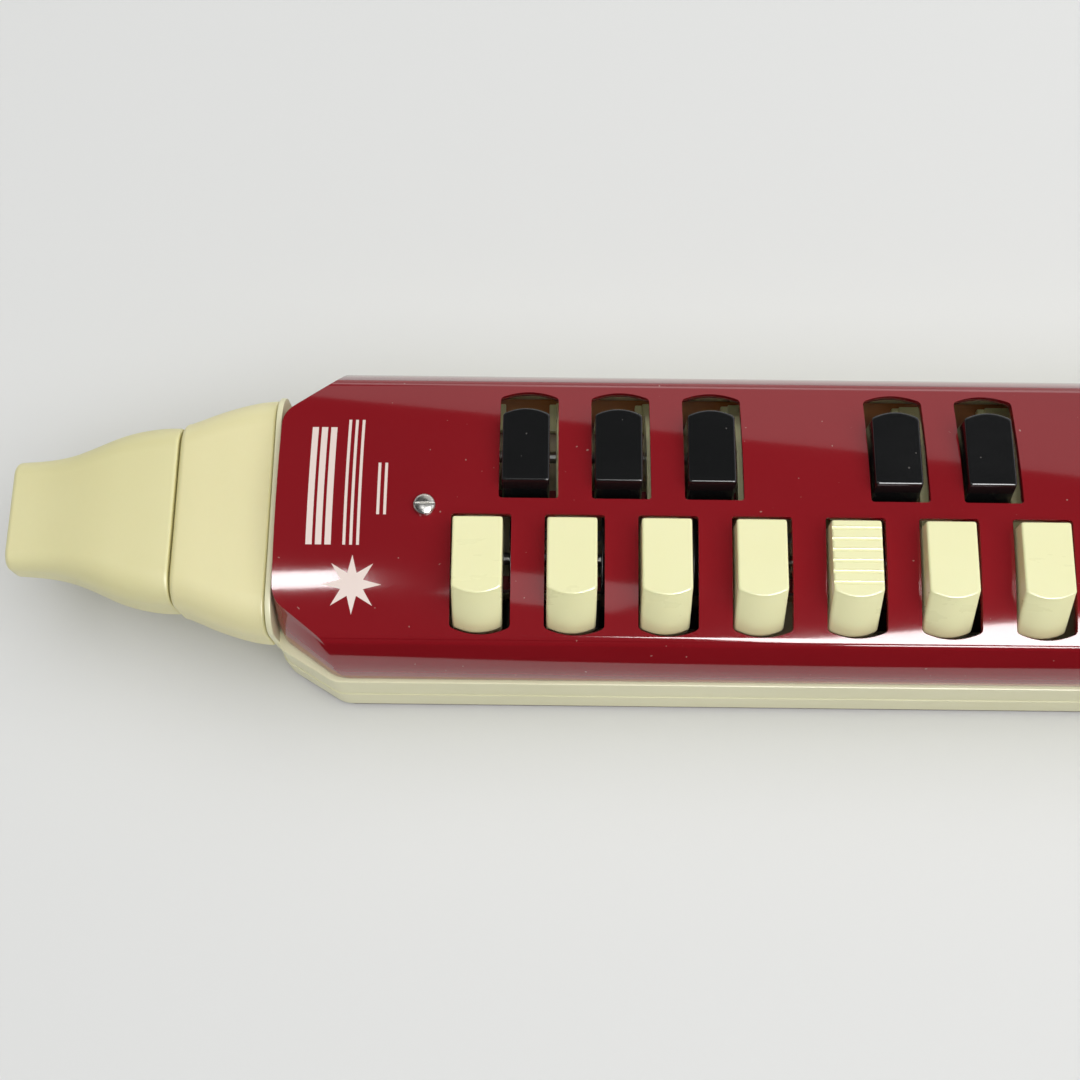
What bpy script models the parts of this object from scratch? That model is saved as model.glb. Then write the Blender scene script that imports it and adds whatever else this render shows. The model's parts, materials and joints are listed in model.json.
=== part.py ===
"""A 25-key button melodica, with its case, keys, reeds, springs and drain valve as separate pieces.

Axes: +X from the mouthpiece to the far end, +Y from the white-key row to the black-key row, +Z up.
Origin: bottom centre of the whole instrument. All driving dimensions are in millimetres.
"""

import math

import bmesh
import bpy
from mathutils import Matrix, Vector

MM = 0.001
GAP = 0.3                       # clearance between pieces that touch on the real instrument

# Keyboard
PITCH = 17.8                    # white key to white key
WHITE_KEYS = 15
BLACK_AFTER = (0, 1, 2, 4, 5, 7, 8, 9, 11, 12)   # white keys, counted from F, with a black key after them
RIBBED_KEYS = (4, 11)           # the C keys, with ribs that a finger can feel
LAST = (WHITE_KEYS - 1) * PITCH

# Lengths from the centre of the first (or last) white key outwards
FRAME_END = 40.8
SHELL_END = 39.3
SEAM = 60.0                     # between collar and mouthpiece
TIP = 93.5
BUTTON_OUT = 2.5                # the drain button's head stands out of the far end
FIRST = (TIP - LAST - FRAME_END - BUTTON_OUT) / 2      # X of the first white key
MIDDLE = FIRST + LAST / 2

# Case: half-width, half-width of the end face between its chamfers, and the chamfers' length along X
FRAME_HALF = 32.7
FRAME_CORNER = 25.5
FRAME_CHAMFER = 12.0
FRAME_BOTTOM = 1.2
LEDGE_Z = 21.0
COVER_HALF = 31.3
COVER_CORNER = 23.3
COVER_CHAMFER = 11.5
COVER_BOTTOM = LEDGE_Z + GAP
COVER_TOP = 36.4
# height, and how far the chamfer faces have leant inwards there
CHAMFER_LEAN = ((COVER_BOTTOM, 0.0), (25.0, 0.5), (28.5, 1.5), (32.5, 3.0), (COVER_TOP + 2, 5.0))
ARCH_R = 98.0
SHOULDER_Y = 25.0               # where the arch ends and the shoulder starts to bend down
WALL = 1.8
FLANGE_HALF = 24.3              # the frame's upstanding end plates
FLANGE_TOP = 33.7

# Windows: half-width, straight edge, corners of the curved edge, its middle
WHITE_WINDOW = (5.73, -2.1, -23.6, -24.95)
BLACK_WINDOW = (5.69, 1.1, 22.65, 24.0)

# Key caps
CAP_SHIFT = -0.55               # caps stand slightly off the window's centre
WHITE_CAP_HALF = 4.73
BLACK_CAP_HALF = 4.55
WHITE_CAP_TOP = 39.8
BLACK_CAP_TOP = 38.6
WHITE_CAP_BOTTOM = 29.0
BLACK_CAP_BOTTOM = 27.0
WHITE_TILT = 0.033              # rise of the cap's top along Y
BLACK_TILT = -0.018
LEVER_HALF = 3.0
PALLET_HALF = 4.4
PALLET_FROM_AXLE = 10.2
PALLET_LENGTH = 6.0
SLOT_HALF = 2.4                 # half the length of the air slot under a pallet

# Axles
AXLE_Z = 22.0
AXLE_R = 1.25
AXLE_HOLE_R = 1.36
WHITE_AXLE_Y = 14.5
BLACK_AXLE_Y = -7.0
POST_AFTER = [-0.5] + [i + 0.5 for i in range(WHITE_KEYS - 1) if i not in BLACK_AFTER] + [WHITE_KEYS - 0.5]

# Wind chest
CHEST_HALF = 29.5
CHEST_BOTTOM = 2.6
CHEST_TOP = 16.0
CHEST_WALL = 1.6
CHEST_START = FIRST - 27.0
CHEST_END = FIRST + LAST + 22.8
INLET_START = FIRST - 36.0
INLET_END = FIRST - 12.0
INLET_HALF = 20.0
INLET_TOP = 29.0
BREATH_Z = 22.0                 # height of the breath channel's axis
BREATH_HOLE = (12.4, 5.4)       # half-width and half-height of the hole in the case's end

SCREW_X = (FIRST - 10.9, FIRST + LAST + 10.9)
SCREW_Y = -0.55
SCREW_POST_TOP = 31.0
BOTTOM_SCREW_X = (FIRST - 22.0, FIRST + 70.0, FIRST + 162.0, FIRST + 254.0)
DRAIN_Z = 10.0

for existing in list(bpy.data.objects):
    bpy.data.objects.remove(existing, do_unlink=True)

parts = bpy.data.collections.new("melodica")
bpy.context.scene.collection.children.link(parts)
workshop = bpy.data.collections.new("cutters")
bpy.context.scene.collection.children.link(workshop)


# ---------------------------------------------------------------- materials

def material(name, colour, roughness, metallic=0.0):
    made = bpy.data.materials.new(name)
    made.use_nodes = True
    shader = made.node_tree.nodes["Principled BSDF"]
    shader.inputs["Base Color"].default_value = (*colour, 1.0)
    shader.inputs["Roughness"].default_value = roughness
    shader.inputs["Metallic"].default_value = metallic
    return made


RED = material("red_gloss", (0.235, 0.011, 0.016), 0.14)
CREAM = material("cream_plastic", (0.80, 0.76, 0.44), 0.35)
KEY_CREAM = material("white_key_plastic", (0.88, 0.86, 0.52), 0.25)
BLACK = material("black_key_plastic", (0.008, 0.008, 0.009), 0.18)
BROWN = material("bottom_plastic", (0.09, 0.012, 0.014), 0.4)
STEEL = material("steel", (0.62, 0.62, 0.60), 0.25, 1.0)
BRASS = material("brass", (0.62, 0.42, 0.14), 0.35, 1.0)
FELT = material("felt", (0.25, 0.03, 0.03), 0.95)
RUBBER = material("rubber", (0.05, 0.05, 0.05), 0.7)


# ---------------------------------------------------------------- modelling helpers, in millimetres

def add_object(name, bm, finish, collection=parts):
    """Turn a bmesh in millimetres into an object in metres."""
    bmesh.ops.recalc_face_normals(bm, faces=bm.faces)
    mesh = bpy.data.meshes.new(name)
    bmesh.ops.scale(bm, vec=(MM, MM, MM), verts=bm.verts)
    bm.to_mesh(mesh)
    bm.free()
    mesh.materials.append(finish)
    made = bpy.data.objects.new(name, mesh)
    collection.objects.link(made)
    return made


def box(low, high, name="box", finish=STEEL):
    bm = bmesh.new()
    size = Vector(high) - Vector(low)
    middle = (Vector(high) + Vector(low)) / 2
    bmesh.ops.create_cube(bm, size=1.0, matrix=Matrix.Translation(middle) @ Matrix.Diagonal((*size, 1.0)))
    return add_object(name, bm, finish, workshop)


TURN = {
    "X": Matrix.Rotation(math.pi / 2, 4, "Y"),
    "Y": Matrix.Rotation(-math.pi / 2, 4, "X"),
    "Z": Matrix.Identity(4),
}


def rod(axis, middle, radius, length, sides=16, name="rod", finish=STEEL):
    bm = bmesh.new()
    bmesh.ops.create_cone(bm, cap_ends=True, segments=sides, radius1=radius, radius2=radius, depth=length,
                          matrix=Matrix.Translation(middle) @ TURN[axis])
    return add_object(name, bm, finish, workshop)


def loft(rings, name="loft", finish=STEEL, closed=False):
    """Bridge rings of equal length; a closed loft is a tube that comes back to its first ring."""
    bm = bmesh.new()
    rows = [[bm.verts.new(point) for point in ring] for ring in rings]
    pairs = list(zip(rows, rows[1:]))
    if closed:
        pairs.append((rows[-1], rows[0]))
    for lower, upper in pairs:
        for i in range(len(lower)):
            j = (i + 1) % len(lower)
            bm.faces.new((lower[i], lower[j], upper[j], upper[i]))
    if not closed:
        bm.faces.new(rows[0])
        bm.faces.new(rows[-1])
    return add_object(name, bm, finish, workshop)


# where a flat outline's own axes point: (outline x, outline y, thickness)
PLANES = {
    "XY": Matrix(((1, 0, 0), (0, 1, 0), (0, 0, 1))).to_4x4(),
    "YZ": Matrix(((0, 0, 1), (1, 0, 0), (0, 1, 0))).to_4x4(),
    "XZ": Matrix(((1, 0, 0), (0, 0, -1), (0, 1, 0))).to_4x4(),
}


def to_mesh(curve_object):
    """Replace a curve object by the closed mesh it evaluates to."""
    evaluated = curve_object.evaluated_get(bpy.context.evaluated_depsgraph_get())
    mesh = bpy.data.meshes.new_from_object(evaluated)
    bm = bmesh.new()
    bm.from_mesh(mesh)
    bmesh.ops.remove_doubles(bm, verts=bm.verts, dist=0.000001)
    bmesh.ops.recalc_face_normals(bm, faces=bm.faces)
    bm.to_mesh(mesh)
    bm.free()
    made = bpy.data.objects.new(curve_object.name, mesh)
    made.matrix_world = curve_object.matrix_world
    workshop.objects.link(made)
    bpy.data.objects.remove(curve_object, do_unlink=True)
    return made


def plate(outline, plane, low, high, name="plate", finish=STEEL):
    """A flat outline in one plane, with its thickness from low to high along the plane's normal."""
    curve = bpy.data.curves.new(name, "CURVE")
    curve.dimensions = "2D"
    curve.fill_mode = "BOTH"
    curve.extrude = (high - low) / 2 * MM
    spline = curve.splines.new("POLY")
    spline.points.add(len(outline) - 1)
    for point, (x, y) in zip(spline.points, outline):
        point.co = (x * MM, y * MM, 0.0, 1.0)
    spline.use_cyclic_u = True
    curve.materials.append(finish)
    made = bpy.data.objects.new(name, curve)
    workshop.objects.link(made)
    made.matrix_world = PLANES[plane] @ Matrix.Translation((0, 0, (low + high) / 2 * MM))
    bpy.context.view_layer.update()
    flat = to_mesh(made)
    flat.data.transform(flat.matrix_world)
    flat.matrix_world = Matrix.Identity(4)
    return flat


def bake(target):
    """Apply an object's modifiers."""
    bpy.context.view_layer.update()
    evaluated = target.evaluated_get(bpy.context.evaluated_depsgraph_get())
    mesh = bpy.data.meshes.new_from_object(evaluated)
    target.modifiers.clear()
    target.data = mesh


def combine(target, operation, tools):
    """Join the tools to the target, or cut them from it, one after another."""
    for tool in tools:
        boolean = target.modifiers.new(operation.lower(), "BOOLEAN")
        boolean.operation = operation
        boolean.object = tool
        boolean.solver = "EXACT"
        bake(target)
        bpy.data.objects.remove(tool, do_unlink=True)
    return target


def join_loose(tools):
    """Gather cutters that don't touch each other into one object."""
    bm = bmesh.new()
    for tool in tools:
        bm.from_mesh(tool.data)
        bpy.data.objects.remove(tool, do_unlink=True)
    bmesh.ops.scale(bm, vec=(1 / MM,) * 3, verts=bm.verts)
    return add_object("joined", bm, STEEL, workshop)


def fuse(target, *tools):
    return combine(target, "UNION", tools)


def cut(target, *tools):
    return combine(target, "DIFFERENCE", tools)


def bevel(target, width, segments=2, angle=40):
    rounding = target.modifiers.new("rounding", "BEVEL")
    rounding.width = width * MM
    rounding.segments = segments
    rounding.limit_method = "ANGLE"
    rounding.angle_limit = math.radians(angle)
    bake(target)
    return target


def finish_part(target, name, finish, smooth=35):
    """Name a finished piece, give it its material and move it to the parts."""
    target.name = name
    target.data.name = name
    target.data.materials.clear()
    target.data.materials.append(finish)
    target.data.shade_smooth()
    target.data.set_sharp_from_angle(angle=math.radians(smooth))
    workshop.objects.unlink(target)
    parts.objects.link(target)
    return target


def origin_on(target, x, y, z):
    """Move an object's origin to a joint's axis, without moving its shape."""
    place = Vector((x, y, z)) * MM
    target.data.transform(Matrix.Translation(-place))
    target.location = place


def turned(profile, middle, axis="Z", sides=20, name="turned"):
    """A closed solid turned about its axis; the profile runs down the outer side, top to bottom."""
    mesh = bpy.data.meshes.new(name)
    points = [(radius * MM, 0.0, height * MM) for radius, height in profile]
    mesh.from_pydata(points, [(i, i + 1) for i in range(len(points) - 1)], [])
    made = bpy.data.objects.new(name, mesh)
    workshop.objects.link(made)
    screw = made.modifiers.new("turn", "SCREW")
    screw.steps = sides
    screw.render_steps = sides
    screw.use_merge_vertices = True
    screw.merge_threshold = 0.00001
    bake(made)
    made.data.transform(Matrix.Translation(Vector(middle) * MM) @ TURN[axis])
    return made


# ---------------------------------------------------------------- outlines, in millimetres

def arc(centre, radius, start, end, steps):
    """Points on a circular arc, angles in degrees, both ends included."""
    angles = [math.radians(start + (end - start) * i / steps) for i in range(steps + 1)]
    return [(centre[0] + radius * math.cos(a), centre[1] + radius * math.sin(a)) for a in angles]


def bowed(half, straight, corner, middle, steps=4):
    """Outline with three straight sides and one side bowed from its corners out to its middle."""
    bow = []
    for i in range(steps + 1):
        t = 2 * i / steps - 1
        bow.append((half * t, middle + (corner - middle) * t * t))
    return [(half, straight), (-half, straight)] + bow


def round_corners(corners, radius, steps):
    """Replace each corner of a closed outline by a curve that starts a radius away from it."""
    points = []
    for i, corner in enumerate(corners):
        before = Vector(corners[i - 1])
        after = Vector(corners[(i + 1) % len(corners)])
        here = Vector(corner)
        start = here + (before - here).normalized() * radius
        end = here + (after - here).normalized() * radius
        for k in range(steps + 1):
            t = k / steps
            spot = start * (1 - t) ** 2 + here * 2 * t * (1 - t) + end * t * t
            points.append((spot.x, spot.y))
    return points


def chamfered(end, half, corner, chamfer, inset, lean=0.0, rounding=2.0, steps=2):
    """The case from above: a rectangle with chamfered and rounded corners, shrunk by an inset.

    The lean moves only the chamfers inwards.
    """
    slope = math.atan2(half - corner, chamfer)
    x = LAST / 2 + end
    end_y = corner - lean / math.cos(slope) - inset * math.tan((math.pi / 2 - slope) / 2)
    side_x = x - chamfer - lean / math.sin(slope) - inset * math.tan(slope / 2)
    x -= inset
    y = half - inset
    corners = [(x, -end_y), (x, end_y), (side_x, y), (-side_x, y),
               (-x, end_y), (-x, -end_y), (-side_x, -y), (side_x, -y)]
    return [(u + MIDDLE, v) for u, v in round_corners(corners, rounding, steps)]


def frame_outline(inset):
    return chamfered(FRAME_END, FRAME_HALF, FRAME_CORNER, FRAME_CHAMFER, inset)


def cover_outline(inset, lean=0.0):
    return chamfered(SHELL_END, COVER_HALF, COVER_CORNER, COVER_CHAMFER, inset, lean)


def at_height(outline, z):
    return [(x, y, z) for x, y in outline]


def cover_section(inset, bottom, steps=10, bend_steps=6):
    """The cover's cross-section: an arch that bends down over two shoulders to upright feet."""
    lean = math.asin(SHOULDER_Y / ARCH_R)
    degrees = math.degrees(lean)
    top = arc((0.0, COVER_TOP - ARCH_R), ARCH_R - inset, 90 - degrees, 90 + degrees, steps)
    side = COVER_HALF - inset
    y, z = top[-1]
    reach = side + y
    bend = ((y, z), (y - reach * 0.5, z - reach * 0.5 * math.tan(lean)),
            (-side, COVER_BOTTOM + (z - COVER_BOTTOM) * 0.32), (-side, COVER_BOTTOM))
    shoulder = []
    for k in range(1, bend_steps + 1):
        t = k / bend_steps
        weights = ((1 - t) ** 3, 3 * t * (1 - t) ** 2, 3 * t * t * (1 - t), t ** 3)
        shoulder.append(tuple(sum(w * point[axis] for w, point in zip(weights, bend)) for axis in (0, 1)))
    left = shoulder + [(-side, bottom)]
    return [(-y, z) for y, z in reversed(left)] + top + left


def rounded_section(x, half, low, high, radius, steps=4):
    """Rounded rectangle across the breath channel, at one place along it."""
    points = []
    for centre, start in (
        ((half - radius, high - radius), 0),
        ((-half + radius, high - radius), 90),
        ((-half + radius, low + radius), 180),
        ((half - radius, low + radius), 270),
    ):
        points += arc(centre, radius, start, start + 90, steps)
    return [(x, y, z) for y, z in points]


# ---------------------------------------------------------------- case

def white_x(index):
    return FIRST + index * PITCH


def cover_block(inset, foot):
    """Upright ends and sides, with chamfer faces that lean inwards."""
    levels = ((foot, 0.0), *CHAMFER_LEAN)
    return loft([at_height(cover_outline(inset, lean), z) for z, lean in levels])


def breath_hole(x_low, x_high):
    half, tall = BREATH_HOLE
    return box((x_low, -half, BREATH_Z - tall), (x_high, half, BREATH_Z + tall))


def make_top_cover():
    start = FIRST - SHELL_END
    end = FIRST + LAST + SHELL_END
    foot = COVER_BOTTOM - 6
    cover = plate(cover_section(0.0, foot), "YZ", start - 1, end + 1)
    combine(cover, "INTERSECT", [cover_block(0.0, foot - 1)])
    bevel(cover, 1.8, 2, 50)
    hollow = plate(cover_section(WALL, foot - 3), "YZ", start - 1, end + 1)
    combine(hollow, "INTERSECT", [cover_block(WALL, foot - 4)])
    below = box((start - 5, -40, foot - 5), (end + 5, 40, COVER_BOTTOM))
    cut(cover, hollow, below)
    windows = []
    for i in range(WHITE_KEYS):
        outline = [(x + white_x(i), y) for x, y in bowed(*WHITE_WINDOW)]
        windows.append(plate(outline, "XY", COVER_BOTTOM + 4, COVER_TOP + 4))
    for i in BLACK_AFTER:
        outline = [(x + white_x(i + 0.5), y) for x, y in bowed(*BLACK_WINDOW)]
        windows.append(plate(outline, "XY", COVER_BOTTOM + 4, COVER_TOP + 4))
    windows += [rod("Z", (x, SCREW_Y, COVER_TOP), 1.3, 10, 12) for x in SCREW_X]
    cut(cover, join_loose(windows), breath_hole(start - 3, start + 5))
    return finish_part(cover, "top_cover", RED)


def make_frame():
    """A ring of constant section around the case, with a lip inside the cover and a plate at each end."""
    profile = (
        (frame_outline, 0.0, FRAME_BOTTOM), (frame_outline, 0.1, 10.6), (frame_outline, 0.4, 11.0),
        (frame_outline, 0.6, LEDGE_Z - 0.4), (frame_outline, 1.0, LEDGE_Z),
        (cover_outline, WALL + GAP, LEDGE_Z), (cover_outline, WALL + GAP, LEDGE_Z + 2.2),
        (cover_outline, WALL + 1.1, LEDGE_Z + 2.2), (cover_outline, WALL + 1.1, LEDGE_Z - 1.8),
        (frame_outline, 2.3, LEDGE_Z - 3.6), (frame_outline, 2.3, FRAME_BOTTOM),
    )
    frame = loft([at_height(outline(inset), z) for outline, inset, z in profile], closed=True)
    ends = []
    for side, edge in ((-1, FIRST - FRAME_END), (1, FIRST + LAST + FRAME_END)):
        outline = [(y, z) for x, y, z in rounded_section(0, FLANGE_HALF, 9.0, FLANGE_TOP, 7.0)]
        low, high = sorted((edge - side * 0.05, edge - side * 1.2))
        ends.append(plate(outline, "YZ", low, high))
    fuse(frame, *ends)
    drain = rod("X", (FIRST + LAST + FRAME_END, 0, DRAIN_Z), 4.8, 12)
    cut(frame, breath_hole(FIRST - FRAME_END - 3, FIRST - FRAME_END + 6), drain)
    return finish_part(frame, "body_frame", CREAM)


def make_bottom_cover():
    steps = ((0.45, 0.0), (0.1, 0.35), (0.1, 0.9), (2.7, 0.9), (2.7, 2.2))
    cover = loft([at_height(frame_outline(inset), z) for inset, z in steps])
    wells = [rod("Z", (x, 0, 0.0), 2.9, 2.8, 14) for x in BOTTOM_SCREW_X]
    holes = [rod("Z", (x, 0, 1.0), 1.35, 6, 12) for x in BOTTOM_SCREW_X]
    cut(cover, join_loose(wells), join_loose(holes))
    return finish_part(cover, "bottom_cover", BROWN)


# ---------------------------------------------------------------- breath path

def tube(stations):
    """Rings along the breath path: (distance from the first key, half-width, half-height, corner radius)."""
    return [rounded_section(FIRST - along, half, BREATH_Z - tall, BREATH_Z + tall, radius)
            for along, half, tall, radius in stations]


def make_collar():
    """A hollow shroud that narrows from the case to the mouthpiece, with a socket for the spigot."""
    outside = ((FRAME_END + GAP, 24.2, 10.4, 7.0), (45.0, 23.75, 10.3, 7.0), (49.0, 22.7, 10.2, 6.8),
               (53.0, 21.35, 10.0, 6.6), (57.0, 19.7, 9.8, 6.4), (59.2, 18.7, 9.4, 6.0),
               (SEAM - GAP / 2, 17.8, 8.9, 5.6))
    collar = loft(tube(outside))
    bore = ((40.0, 22.2, 8.2, 4.0), (44.0, 22.2, 8.2, 4.0), (51.0, 16.8, 7.0, 4.0), (62.0, 16.8, 7.0, 4.0))
    cut(collar, loft(tube(bore)))
    return finish_part(collar, "mouthpiece_collar", CREAM)


def make_mouthpiece():
    """A flared tube: wide at the collar, flat and narrow at the lips, with a spigot that plugs in."""
    outside = ((SEAM + GAP / 2, 17.7, 9.1, 5.6), (60.9, 18.1, 9.5, 6.0), (66.0, 17.75, 9.4, 6.0),
               (69.5, 17.0, 9.2, 5.8), (73.0, 15.85, 8.9, 5.5), (77.0, 14.2, 8.2, 5.0),
               (81.0, 12.65, 7.3, 4.4), (85.0, 11.75, 6.4, 3.8), (92.5, 11.25, 5.2, 3.2),
               (TIP, 10.4, 4.5, 2.6))
    body = loft(tube(outside))
    spigot = ((51.2, 15.9, 6.1, 3.6), (52.0, 16.5, 6.7, 3.6), (54.7, 16.5, 6.7, 3.6), (54.7, 15.8, 6.0, 3.6),
              (56.7, 15.8, 6.0, 3.6), (56.7, 16.5, 6.7, 3.6), (61.0, 16.5, 6.7, 3.6))
    fuse(body, loft(tube(spigot)))
    channel = ((48.0, 14.2, 4.6, 3.0), (62.0, 14.2, 4.6, 3.0), (80.0, 9.2, 3.0, 2.2),
               (TIP + 1.5, 7.4, 2.5, 1.8))
    cut(body, loft(tube(channel)))
    return finish_part(body, "mouthpiece", CREAM)


def ring_seal(name, x_low, x_high, outer, inner, finish):
    """A flat rubber ring across the breath path: outer and inner are (half-width, half-height, radius)."""
    rings = []
    for x, (half, tall, radius) in ((x_low, outer), (x_high, outer), (x_high, inner), (x_low, inner)):
        rings.append(rounded_section(x, half, BREATH_Z - tall, BREATH_Z + tall, radius))
    return finish_part(loft(rings, closed=True), name, finish)


def make_breath_seals():
    ring_seal("mouthpiece_seal", FIRST - 56.4, FIRST - 55.0, (16.6, 6.8, 3.8), (16.1, 6.3, 3.6), RUBBER)
    ring_seal("collar_gasket", FIRST - 43.2, FIRST - 41.3, (15.0, 8.0, 3.0), (*BREATH_HOLE, 1.2), RUBBER)


# ---------------------------------------------------------------- wind chest

def posts():
    """Forked posts that carry the two axles, at the places with no lever."""
    made = []
    for after in POST_AFTER:
        x = white_x(after) + CAP_SHIFT
        for y in (WHITE_AXLE_Y, BLACK_AXLE_Y):
            made.append(box((x - 1.0, y - 2.6, CHEST_TOP - 1.0), (x + 1.0, y + 2.6, AXLE_Z + 1.6)))
    return made


def axle_slots():
    made = []
    for y in (WHITE_AXLE_Y, BLACK_AXLE_Y):
        half = AXLE_HOLE_R
        outline = [(y + half, AXLE_Z + 3), (y - half, AXLE_Z + 3)] + arc((y, AXLE_Z), half, 180, 360, 6)
        made.append(plate(outline, "YZ", white_x(-1.0), white_x(WHITE_KEYS)))
    return made


def pallet_y(row):
    """Middle of a row's pallets."""
    return WHITE_AXLE_Y + PALLET_FROM_AXLE if row == "white" else BLACK_AXLE_Y - PALLET_FROM_AXLE


def make_wind_chest():
    wall = CHEST_WALL
    chest = box((CHEST_START, -CHEST_HALF, CHEST_BOTTOM), (CHEST_END, CHEST_HALF, CHEST_TOP))
    inlet = box((INLET_START, -INLET_HALF, CHEST_BOTTOM), (INLET_END, INLET_HALF, INLET_TOP))
    nose = box((FIRST - 47.0, -12.0, BREATH_Z - 5.0), (INLET_START + 2, 12.0, BREATH_Z + 5.0))
    fuse(chest, inlet, nose)
    hollows = (
        box((CHEST_START + wall, -CHEST_HALF + wall, CHEST_BOTTOM + wall),
            (CHEST_END - wall, CHEST_HALF - wall, CHEST_TOP - 2.0)),
        box((INLET_START + wall, -INLET_HALF + wall, CHEST_BOTTOM + wall + 0.05),
            (INLET_END - wall, INLET_HALF - wall, INLET_TOP - wall)),
        box((FIRST - 48.0, -10.4, BREATH_Z - 3.4), (INLET_START + 4, 10.4, BREATH_Z + 3.4)),
    )
    cut(chest, *hollows)
    post_middle = (CHEST_TOP + SCREW_POST_TOP) / 2
    post_tall = SCREW_POST_TOP - CHEST_TOP + 2
    screw_posts = [rod("Z", (x, SCREW_Y, post_middle), 2.6, post_tall, 12) for x in SCREW_X]
    bosses = [rod("Z", (x, 0, CHEST_BOTTOM + 3.6), 3.0, 7.0, 12) for x in BOTTOM_SCREW_X]
    rails = [box((white_x(0) - 8, y - 1.5, CHEST_TOP - 1), (white_x(WHITE_KEYS - 1) + 8, y + 1.5, top))
             for y, top in ((-12.2, 20.4), (5.2, 21.8))]
    fuse(chest, join_loose(posts() + rails), join_loose(screw_posts + bosses))
    cut(chest, join_loose(axle_slots()))
    slots = [box((white_x(i) + CAP_SHIFT - 1.2, pallet_y("white") - SLOT_HALF, CHEST_TOP - 4),
                 (white_x(i) + CAP_SHIFT + 1.2, pallet_y("white") + SLOT_HALF, CHEST_TOP + 2))
             for i in range(WHITE_KEYS)]
    slots += [box((white_x(i + 0.5) + CAP_SHIFT - 1.2, pallet_y("black") - SLOT_HALF, CHEST_TOP - 4),
                  (white_x(i + 0.5) + CAP_SHIFT + 1.2, pallet_y("black") + SLOT_HALF, CHEST_TOP + 2))
              for i in BLACK_AFTER]
    screws = [rod("Z", (x, SCREW_Y, 30), 1.15, 14, 12) for x in SCREW_X]
    screws += [rod("Z", (x, 0, 4), 1.15, 9, 12) for x in BOTTOM_SCREW_X]
    drain = rod("X", (CHEST_END, 0, DRAIN_Z), 2.2, 8, 14)
    cut(chest, join_loose(slots), join_loose(screws), drain)
    return finish_part(chest, "wind_chest", CREAM)


def make_reed_plate(name, row, places):
    """A brass plate with one slot and one riveted tongue for each note, longest at the low end."""
    inward = -1 if row == "white" else 1
    outer = pallet_y(row) - inward * SLOT_HALF
    inner = pallet_y(row) + inward * 14.0
    low, high = sorted((outer, inner))
    top = CHEST_TOP - 2.0 - GAP
    plate_piece = box((white_x(places[0]) - 6, low, top - 1.0), (white_x(places[-1]) + 5, high, top))
    slots = []
    tongues = []
    for place in places:
        x = white_x(place) + CAP_SHIFT
        length = 14.0 - 0.35 * place
        far = outer + inward * (1.2 + length)
        near = outer + inward * 1.2
        y_low, y_high = sorted((near, far))
        slots.append(box((x - 1.2, y_low, top - 2), (x + 1.2, y_high, top + 1)))
        y_low, y_high = sorted((near + inward * 0.3, far + inward * 1.8))
        tongues.append(box((x - 0.9, y_low, top - 1.35), (x + 0.9, y_high, top - 0.9)))
    cut(plate_piece, join_loose(slots))
    fuse(plate_piece, join_loose(tongues))
    return finish_part(plate_piece, name, BRASS)


# ---------------------------------------------------------------- key action

LEVER_TOP = 8.0                 # heights above the axle
LEVER_UNDER = 4.5
LEVER_PROFILE = ((1.0, 8.0), (-3.5, 6.8), (-8.0, 3.6), (-9.8, -1.6), (-13.2, -3.2), (-13.2, -5.7),
                 (-7.2, -5.7), (-7.2, -3.4), (-7.1, 2.2), (-3.6, 2.2), (-2.6, -2.2), (-1.2, -3.0),
                 (1.2, -3.0), (2.6, -2.2), (4.2, -1.2), (4.2, 2.0), (6.2, 4.5))


def key_template(name, finish, axle_y, toward, cap_rings, lever_end, ribs):
    """One key, for window centre X = 0: a cap, a lever over its axle, and a pallet at the other end.

    Distances along the lever run from the axle towards the cap; toward is that direction's sign in Y.
    """
    reach = abs(lever_end - axle_y)
    profile = [(reach, LEVER_TOP), *LEVER_PROFILE, (reach, LEVER_UNDER)]
    outline = [(axle_y + toward * along, AXLE_Z + up) for along, up in profile]
    key = plate(outline, "YZ", CAP_SHIFT - LEVER_HALF, CAP_SHIFT + LEVER_HALF)
    pad_y = axle_y - toward * PALLET_FROM_AXLE
    pad_half = PALLET_LENGTH / 2 - 0.02
    pad = box((CAP_SHIFT - PALLET_HALF, pad_y - pad_half, CHEST_TOP + GAP - 0.05),
              (CAP_SHIFT + PALLET_HALF, pad_y + pad_half, CHEST_TOP + GAP + 1.8))
    cap = loft(cap_rings)
    fuse(key, pad, cap)
    if ribs:
        cut(key, join_loose(ribs))
    cut(key, rod("X", (CAP_SHIFT, axle_y, AXLE_Z), AXLE_HOLE_R, 12, 12))
    return finish_part(key, name, finish)


def cap_ring(half, straight, corner, middle, z, slope=0.0):
    """One level of a cap; slope tilts it along Y about the straight edge."""
    return [(x + CAP_SHIFT, y, z + slope * (y - straight)) for x, y in bowed(half, straight, corner, middle)]


def white_cap_rings():
    half = WHITE_CAP_HALF
    return [
        cap_ring(half, -3.6, -22.9, -24.2, WHITE_CAP_BOTTOM),
        cap_ring(half, -3.6, -22.9, -24.2, 31.4),
        cap_ring(half, -3.6, -17.4, -18.7, WHITE_CAP_TOP - 0.4, WHITE_TILT),
        cap_ring(half - 0.35, -3.95, -17.1, -18.4, WHITE_CAP_TOP, WHITE_TILT),
    ]


def black_cap_rings():
    half = BLACK_CAP_HALF
    return [
        cap_ring(half, 1.9, 17.6, 18.8, BLACK_CAP_BOTTOM),
        cap_ring(half, 1.9, 17.6, 18.8, 33.4),
        cap_ring(half, 4.0, 17.6, 18.8, BLACK_CAP_TOP - 0.4, BLACK_TILT),
        cap_ring(half - 0.35, 4.35, 17.3, 18.5, BLACK_CAP_TOP, BLACK_TILT),
    ]


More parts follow.
